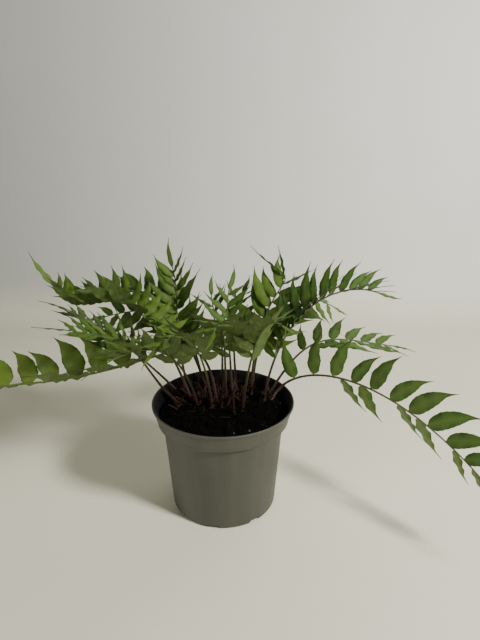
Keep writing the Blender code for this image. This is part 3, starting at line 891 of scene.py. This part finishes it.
def blades(name, places, tones, look, seed):
    """Fine leaflets, each a closed thin surface of two parameters: x along the leaflet and v across
    it. The half width is the width times WIDTH_SCALE, times b to SHOULDER_POWER, times (1 - b) to
    TAPER_POWER, drawn in towards the tip by TAIL, joined to a thin stalk, and notched by saw teeth
    that point to the tip. An ear widens one side of the base. The blade falls away from its
    midrib by CROWN_FALL times v squared, and its margin ripples as a sine of x."""
    points, axes, across, normals, lengths, widths = (np.array(part) for part in zip(*places))
    phases = np.random.default_rng(seed).uniform(0, 1, (len(places), 1, 4))
    x = np.linspace(0, BLADE_END, BLADE_RINGS)[:, None]
    middle, ahead, over, right = spines(points, axes, across, normals, lengths, x)
    hand = np.sign(np.einsum("ij,ij->i", np.cross(normals, axes), across))[:, None, None]
    b = np.clip((x - PETIOLE) / (1 - PETIOLE), 0, 1)
    body = widths[:, None, None] * half_width(b) * (1 - TAIL * smooth(0.55, 0.95, b))
    stem = PETIOLE_RADIUS * (1 - 0.8 * x)
    v = np.concatenate([ACROSS, ACROSS[-2:0:-1]])
    top = np.arange(len(v)) < len(ACROSS)
    margin = np.where(v * hand > 0, phases[..., 0:1], phases[..., 1:2])
    saw = np.mod(x * TEETH + margin, 1.0)
    fade = smooth(0.03, 0.15, b) * (1 - smooth(0.75, 0.95, b))
    ear = EAR * np.exp(-(b / 0.2) ** 2) * np.sign(v * hand)
    half = body * (1 + look.tooth * (saw - 0.4) * fade + ear)
    half = np.sqrt(half ** 2 + stem ** 2)
    ripple = np.sin(2 * math.pi * (x * RIPPLES + margin)) * fade * v ** 2 * look.ripple
    bowed = half * (ripple - CROWN_FALL * v ** 2)
    thick = BLADE_HALF * (1 - v ** 6) + NECK_SWELL * np.exp(-x / 0.04) * (1 - v ** 2)
    rib = np.exp(-(v / 0.12) ** 2) * (1 - x)
    surface = np.where(top, thick - 0.5 * BLADE_HALF * rib, -thick - RIB_DROP * rib)
    grids = (
        middle[:, :, None]
        + right[:, :, None] * (half * v)[..., None]
        + over[:, :, None] * (bowed + surface)[..., None]
    )
    ends = np.stack([
        middle[:, 0] - ahead[:, 0] * PETIOLE_RADIUS,
        middle[:, -1] + ahead[:, -1] * lengths[:, None] * (1 - BLADE_END),
    ], axis=1)
    top_map = (1 - ACROSS) / 4
    under_map = 0.5 + (ACROSS[-2:0:-1] + 1) / 4
    return tubes(name, grids, ends, np.concatenate([top_map, under_map, [1.0]]), tones)


def rachis(name, frond, line):
    """The stalk and rachis: a round tube along the frond's stations, refined threefold and tapered
    from STALK_RADIUS to RACHIS_TIP_RADIUS, which starts inside the compost and swells at its foot."""
    shares, points, headings, _, length = line
    fine = np.linspace(0, 1, 3 * STATIONS)
    path = between(fine, shares, points)
    path[1:-1] = (path[:-2] + 2 * path[1:-1] + path[2:]) / 4
    path = np.concatenate([[points[0] - headings[0] * STALK_DEPTH * 0.9], path])
    fine = np.concatenate([[0], fine])
    radii = STALK_RADIUS * 0.95 + (RACHIS_TIP_RADIUS - STALK_RADIUS) * fine
    radii = radii + FOOT_SWELL * np.exp(-fine * length / FOOT_LENGTH)
    wobble = WOBBLE * np.sin(fine * length / MM * 1.1)
    return swept(name, path[None], (radii + wobble)[None], 8, np.array([frond.youth]))


def joined(name, meshes):
    """One mesh of several, each of which keeps its materials."""
    pieces = [linked(name, mesh) for mesh in meshes]
    with bpy.context.temp_override(active_object=pieces[0], selected_editable_objects=pieces):
        bpy.ops.object.join()
    mesh = pieces[0].data
    bpy.data.objects.remove(pieces[0], do_unlink=True)
    mesh.name = name
    return mesh


class FERN_OT_pot(Operator):
    """Makes the moulded pot with its rounded lip, band, drainage channels and holes"""
    bl_idname = "fern.pot"
    bl_label = "Pot"

    def execute(self, context):
        look = context.scene.fern_pot
        inner_top = RIM_RADIUS - LIP_WIDTH
        corners = [
            (0, 0),
            (BASE_RADIUS - BASE_CHAMFER, 0),
            (BASE_RADIUS, BASE_CHAMFER),
            (BODY_TOP_RADIUS, BAND_FOOT_HEIGHT - BAND_LEDGE),
            (BAND_FOOT_RADIUS, BAND_FOOT_HEIGHT - 0.3 * BEAD),
            (BAND_FOOT_RADIUS + BEAD, BAND_FOOT_HEIGHT + 1.5 * BEAD),
            (BAND_FOOT_RADIUS + 0.8 * BEAD, BAND_FOOT_HEIGHT + 3.5 * BEAD),
            (BAND_TOP_RADIUS, BAND_TOP_HEIGHT),
            (BAND_TOP_RADIUS + LIP_ROUND, POT_HEIGHT - LIP_DEPTH - LIP_UNDERCUT),
            (RIM_RADIUS, POT_HEIGHT - LIP_DEPTH),
            (RIM_RADIUS, POT_HEIGHT),
            (inner_top, POT_HEIGHT),
            (BAND_TOP_RADIUS - WALL, BAND_TOP_HEIGHT),
            (BAND_FOOT_RADIUS - WALL, BAND_FOOT_HEIGHT + WALL),
            (BODY_TOP_RADIUS - WALL, BAND_FOOT_HEIGHT - BAND_LEDGE + WALL),
            (BASE_RADIUS - WALL, FLOOR),
            (0, FLOOR),
        ]
        shell = turned("pot_moulding", rounded(corners, CORNER_ROUND), look.segments)
        put(drained(shell), "pot", pot_material(look))
        return {"FINISHED"}


def drained(shell):
    """The shell with channels and drain holes cut from its floor. A channel runs outwards from
    CHANNEL_START; its section is a rounded box, whose half width times a power of the cosine and
    depth times a power of the sine give its edge. A drain is a short upright rod."""
    ways = level(np.radians(FIRST_CHANNEL + 360 / CHANNELS * np.arange(CHANNELS)))
    paths = ways[:, None] * np.linspace(CHANNEL_START, CHANNEL_END, 4)[:, None]
    turn = bearings(CUTTER_SIDES)
    right = np.cross(UP, ways)[:, None, None]
    squared = 0.5 * CHANNEL_WIDTH * np.sign(np.cos(turn)) * np.abs(np.cos(turn)) ** 0.4
    raised = CHANNEL_DEPTH * np.sign(np.sin(turn)) * np.abs(np.sin(turn)) ** 0.5
    ring = right * squared[:, None] + UP * raised[:, None]
    channels = tubes("channels", paths[:, :, None] + ring, paths[:, [0, -1]])
    rods = ways[:, None] * DRAIN_CIRCLE + UP * np.linspace(-2 * FLOOR, 2 * FLOOR, 4)[:, None]
    drains = swept("drains", rods, np.full((CHANNELS, 4), DRAIN_RADIUS), DRAIN_SIDES)
    body = linked("pot_body", shell)
    cutters = [linked(mesh.name, mesh) for mesh in (channels, drains)]
    for cutter in cutters:
        modifier = body.modifiers.new(cutter.name, "BOOLEAN")
        modifier.operation = "DIFFERENCE"
        modifier.object = cutter
    graph = bpy.context.evaluated_depsgraph_get()
    result = bpy.data.meshes.new_from_object(body.evaluated_get(graph))
    for thing in (body, *cutters):
        bpy.data.objects.remove(thing, do_unlink=True)
    result.name = "pot_moulding"
    return result


def soil_height(x, y):
    """Height of the compost: a gentle uneven mound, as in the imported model."""
    edge = (np.hypot(x, y) / SOIL_EDGE_RADIUS) ** 4
    broad = np.sin(SOIL_BROAD[0] * x + 1) * np.cos(SOIL_BROAD[1] * y)
    fine = SOIL_FINE_SHARE * np.sin(SOIL_FINE[0] * x + SOIL_FINE[1] * y)
    return SOIL_TOP - SOIL_SLOPE * edge + SOIL_BUMP * (broad + fine) * (1 - edge)


def crumbly(x, y, look):
    """Height of the compost with its crumbs: three sizes of lumps on the even mound."""
    fade = 1 - smooth(0.93 * SOIL_EDGE_RADIUS, SOIL_EDGE_RADIUS, np.hypot(x, y))
    rough = (
        lumps(x, y, 5.5 * MM, 11)
        + 0.8 * np.abs(lumps(x, y, 2.6 * MM, 12))
        + 0.5 * lumps(x, y, 1.3 * MM, 13)
    )
    return soil_height(x, y) + look.roughness * rough * fade


class FERN_OT_compost(Operator):
    """Makes the compost as one closed body with a crumbly top"""
    bl_idname = "fern.compost"
    bl_label = "Compost"

    def execute(self, context):
        look = context.scene.fern_compost
        wall = WALL + GAP
        edge = SOIL_TOP - SOIL_SLOPE
        ledge = BAND_FOOT_HEIGHT + WALL + GAP
        rings = np.linspace(SOIL_EDGE_RADIUS, 0.5 * MM, COMPOST_RINGS)
        profile = np.concatenate([
            [
                (0, FLOOR + GAP),
                (BASE_RADIUS - wall - BASE_CHAMFER, FLOOR + GAP),
                (BASE_RADIUS - wall, FLOOR + BASE_CHAMFER + GAP),
                (BODY_TOP_RADIUS - wall, ledge - BAND_LEDGE),
                (BAND_FOOT_RADIUS - wall, ledge),
            ],
            woven(rings, edge),
            [(0, edge)],
        ])

        def lift(x, y, z):
            return np.where(z > edge - GAP, crumbly(x, y, look), z)

        mesh = turned("compost_bed", profile, COMPOST_SIDES, lift)
        put(mesh, "soil", compost_material(look))
        return {"FINISHED"}


def lumpy(name, centres, sizes, tones, seed):
    """Small crumbs: each a sphere of latitude and longitude with every radius drawn at random."""
    random = np.random.default_rng(seed)
    count = len(centres)
    rings, sides = 3, 6
    latitude = (np.arange(1, rings + 1) / (rings + 1) - 0.5) * math.pi
    latitude = latitude[:, None, None]
    ball = np.cos(latitude) * level(bearings(sides)) + np.sin(latitude) * UP
    spread = random.uniform(0.7, 1.3, (count, rings, sides, 1))
    stretch = random.uniform(0.6, 1.4, (count, 1, 1, 3)) * sizes[:, None, None, None]
    grids = centres[:, None, None] + ball * spread * stretch
    tops = np.stack([-UP, UP]) * stretch[:, 0]
    return tubes(name, grids, centres[:, None] + tops, tones=tones)


class FERN_OT_crumbs(Operator):
    """Scatters loose crumbs, bits of bark and a few pale flecks on the compost"""
    bl_idname = "fern.crumbs"
    bl_label = "Crumbs"

    def execute(self, context):
        look = context.scene.fern_compost
        random = np.random.default_rng(21)
        radius = (SOIL_EDGE_RADIUS - CRUMB_MARGIN) * np.sqrt(random.uniform(0, 1, look.crumbs))
        turn = random.uniform(0, 2 * math.pi, look.crumbs)
        x, y = radius * np.cos(turn), radius * np.sin(turn)
        sizes = CRUMB_SIZE + CRUMB_GROWTH * random.uniform(0, 1, look.crumbs) ** 3
        tones = random.uniform(0, 1, look.crumbs)
        centres = woven(x, y, crumbly(x, y, look) + 0.2 * sizes)
        crumbs = lumpy("compost_crumbs", centres, sizes, tones, 22)
        put(crumbs, material=crumb_material(look))
        return {"FINISHED"}


def curls(starts, ways, bends, stations):
    """Paths that leave a start along a way and bend: start + way t + bend t^2."""
    t = np.linspace(0, 1, stations)[None, :, None]
    return starts[:, None] + ways[:, None] * t + bends[:, None] * t ** 2


def heap(random, count, spread, middle, limit):
    """Spots drawn round a middle and pulled in to within a limit of the pot's axis."""
    spots = random.normal(0, 1, (count, 2)) * spread + middle
    return spots * np.minimum(1, limit / np.linalg.norm(spots, axis=1))[:, None]


def fibres(random, look):
    """Loose fibres that curl over the crumbs: tubes along curls, kept above the compost."""
    count = look.fibres
    spots = heap(random, count, HEAP_SPREAD, HEAP, HEAP_LIMIT)
    turns = random.uniform(0, 2 * math.pi, count)
    ways = level(turns) * random.uniform(*FIBRE_REACH, (count, 1)) * MM
    starts = np.column_stack([spots, crumbly(*spots.T, look) + 0.3 * MM])
    bends = random.normal(0, 2.2 * MM, (count, 3)) * (1, 1, 0.4)
    paths = curls(starts, ways, bends, len(FIBRE_TAPER))
    paths[..., 2] = np.maximum(paths[..., 2], crumbly(paths[..., 0], paths[..., 1], look) - 0.1 * MM)
    radii = np.full((count, 1), FIBRE_RADIUS) * FIBRE_TAPER
    return swept("compost_fibres", paths, radii, 5, random.uniform(0.2, 1, count))


def stubs(random, spots):
    """Stubs of old stalks: tapered tubes along curls that lean away from the pot's axis."""
    count = len(spots)
    starts = np.column_stack([spots, soil_height(*spots.T) - STUB_DEPTH])
    leans = np.column_stack([spots + random.normal(0, STUB_JITTER, spots.shape), np.zeros(count)])
    leans *= STUB_LEAN
    heights = (8 + 13 * random.uniform(0, 1, (count, 1)) ** 1.6) * MM
    paths = curls(starts, leans + UP * heights, leans * 0.6, len(STUB_TAPER))
    radii = random.uniform(0.8, 1.5, (count, 1)) * MM * STUB_TAPER
    return swept("old_stalks", paths, radii, 7, random.uniform(0, 1, count))


def papery_scales(random, spots):
    """Papery scales round stalks and stubs: flat tapered tubes that curl up and outwards."""
    count = len(spots)
    out = level(random.uniform(0, 2 * math.pi, count))
    feet = np.column_stack([spots, soil_height(*spots.T)])
    starts = feet + out * 1.2 * MM + UP * random.uniform(*SCALE_RISE, (count, 1)) * MM
    lengths = random.uniform(*SCALE_LENGTH, (count, 1)) * MM
    paths = curls(starts, UP * lengths + out * 0.5 * lengths, out * 0.35 * lengths, len(SCALE_TAPER))
    radii = random.uniform(0.5, 0.95, (count, 1)) * MM * SCALE_TAPER
    return swept("stalk_scales", paths, radii, 4, random.uniform(0.1, 1, count), SCALE_FLATNESS)


class FERN_OT_litter(Operator):
    """Makes the loose fibres, the stubs of old stalks and the papery scales round the stalks"""
    bl_idname = "fern.litter"
    bl_label = "Old stalks and fibres"

    def execute(self, context):
        look = context.scene.fern_compost
        brown = fibre_material(look)
        random = np.random.default_rng(31)
        put(fibres(random, look), material=brown)
        spots = heap(random, look.stubs, STUB_SPREAD, STUB_HEAP, STUB_LIMIT)
        put(stubs(random, spots), material=brown)
        feet = np.repeat([frond.foot for frond in FRONDS], SCALES_A_STALK, axis=0) * MM
        spots = np.concatenate([feet, np.repeat(spots, SCALES_A_STUB, axis=0)])
        put(papery_scales(random, spots), material=brown)
        return {"FINISHED"}


class FERN_OT_fronds(Operator):
    """Makes each frond: a tapered stalk and rachis with thin, toothed and rippled leaflets"""
    bl_idname = "fern.fronds"
    bl_label = "Fronds"

    def execute(self, context):
        look = context.scene.fern_frond
        blade, stalk = blade_material(look), stalk_material(look)
        lines = {frond: centreline(frond) for frond in FRONDS}
        for number, (frond, places) in enumerate(settle_leaflets(lines).items()):
            random = np.random.default_rng(100 + number)
            tones = np.clip(frond.youth + random.normal(0, 0.10, len(places)), 0, 1)
            name = "frond_" + frond.name
            leaves = blades(name, places, tones, look, 200 + number)
            leaves.materials.append(blade)
            stem = rachis(name + "_stem", frond, lines[frond])
            stem.materials.append(stalk)
            put(joined(name, [leaves, stem]), frond.name)
        return {"FINISHED"}


def room(look):
    """The floor and the wall: a profile with a rounded cove, carried along X."""
    profile = rounded([(STAGE_FRONT, 0), (look.wall, 0), (look.wall, WALL_TOP)], COVE, COVE_STEPS)
    across = np.tile((-STAGE_SIDE, 0, STAGE_SIDE), len(profile))
    points = np.column_stack([across, np.repeat(profile, 3, axis=0)])
    row = np.arange(0, 3 * len(profile) - 3, 3)[:, None, None]
    faces = row + np.arange(2)[:, None] + (0, 1, 4, 3)
    mesh = bpy.data.meshes.new("stage_floor")
    mesh.from_pydata(points.tolist(), [], faces.reshape(-1, 4).tolist())
    mesh.materials.append(stage_material(look))
    mesh.shade_smooth()
    return mesh


def lit(name, power, size, spread, place):
    """A square light of a power in watts that looks at the plant from a place."""
    lamp = bpy.data.lights.new(name, "AREA")
    lamp.energy = power
    lamp.size = size
    lamp.spread = math.radians(spread)
    lamp.color = LIGHT_COLOUR
    light = linked(name, lamp)
    light.location = place
    light.rotation_euler = (AIM - light.location).to_track_quat("-Z", "Y").to_euler()


class FERN_OT_stage(Operator):
    """Makes the floor and wall, the key and fill lights and the camera"""
    bl_idname = "fern.stage"
    bl_label = "Stage"

    def execute(self, context):
        look = context.scene.fern_stage
        linked("stage_floor", room(look))
        lit("key", look.key, *KEY)
        lit("fill", look.fill, *FILL)

        world = bpy.data.worlds.new("studio")
        world.use_nodes = True
        sky = world.node_tree.nodes["Background"].inputs
        sky["Color"].default_value = SKY_COLOUR
        sky["Strength"].default_value = look.ambient
        context.scene.world = world

        lens = bpy.data.cameras.new("camera")
        lens.sensor_width = SENSOR
        lens.lens = LENS
        camera = linked("camera", lens)
        camera.location = CAMERA_PLACE
        camera.rotation_euler = (math.radians(90 - CAMERA_DOWN), 0, 0)
        context.scene.camera = camera
        return {"FINISHED"}


class FERN_PT_panel(Panel):
    """Lists the steps and their settings"""
    bl_idname = "FERN_PT_panel"
    bl_label = "Potted holly fern"
    bl_space_type = "VIEW_3D"
    bl_region_type = "UI"
    bl_category = "Fern"

    def draw(self, context):
        for group, (_, *operators) in STEPS.items():
            box = self.layout.box()
            for operator in operators:
                box.operator(operator.bl_idname)
            settings = getattr(context.scene, group)
            for key in settings.bl_rna.properties.keys():
                if key not in ("rna_type", "name"):
                    box.prop(settings, key)


STEPS = {
    "fern_stage": (FernStageSettings, FERN_OT_stage),
    "fern_pot": (FernPotSettings, FERN_OT_pot),
    "fern_compost": (FernCompostSettings, FERN_OT_compost, FERN_OT_crumbs, FERN_OT_litter),
    "fern_frond": (FernFrondSettings, FERN_OT_fronds),
}


def register():
    """Registers the settings, the operators and the panel."""
    for name, classes in STEPS.items():
        for part in classes:
            bpy.utils.register_class(part)
        setattr(bpy.types.Scene, name, PointerProperty(type=classes[0]))
    bpy.utils.register_class(FERN_PT_panel)


def unregister():
    """Takes them away again."""
    bpy.utils.unregister_class(FERN_PT_panel)
    for name, classes in STEPS.items():
        delattr(bpy.types.Scene, name)
        for part in reversed(classes):
            bpy.utils.unregister_class(part)


def main():
    """Makes every piece in order."""
    register()
    for _, *operators in STEPS.values():
        for operator in operators:
            category, name = operator.bl_idname.split(".")
            getattr(getattr(bpy.ops, category), name)()


if __name__ == "__main__":
    main()
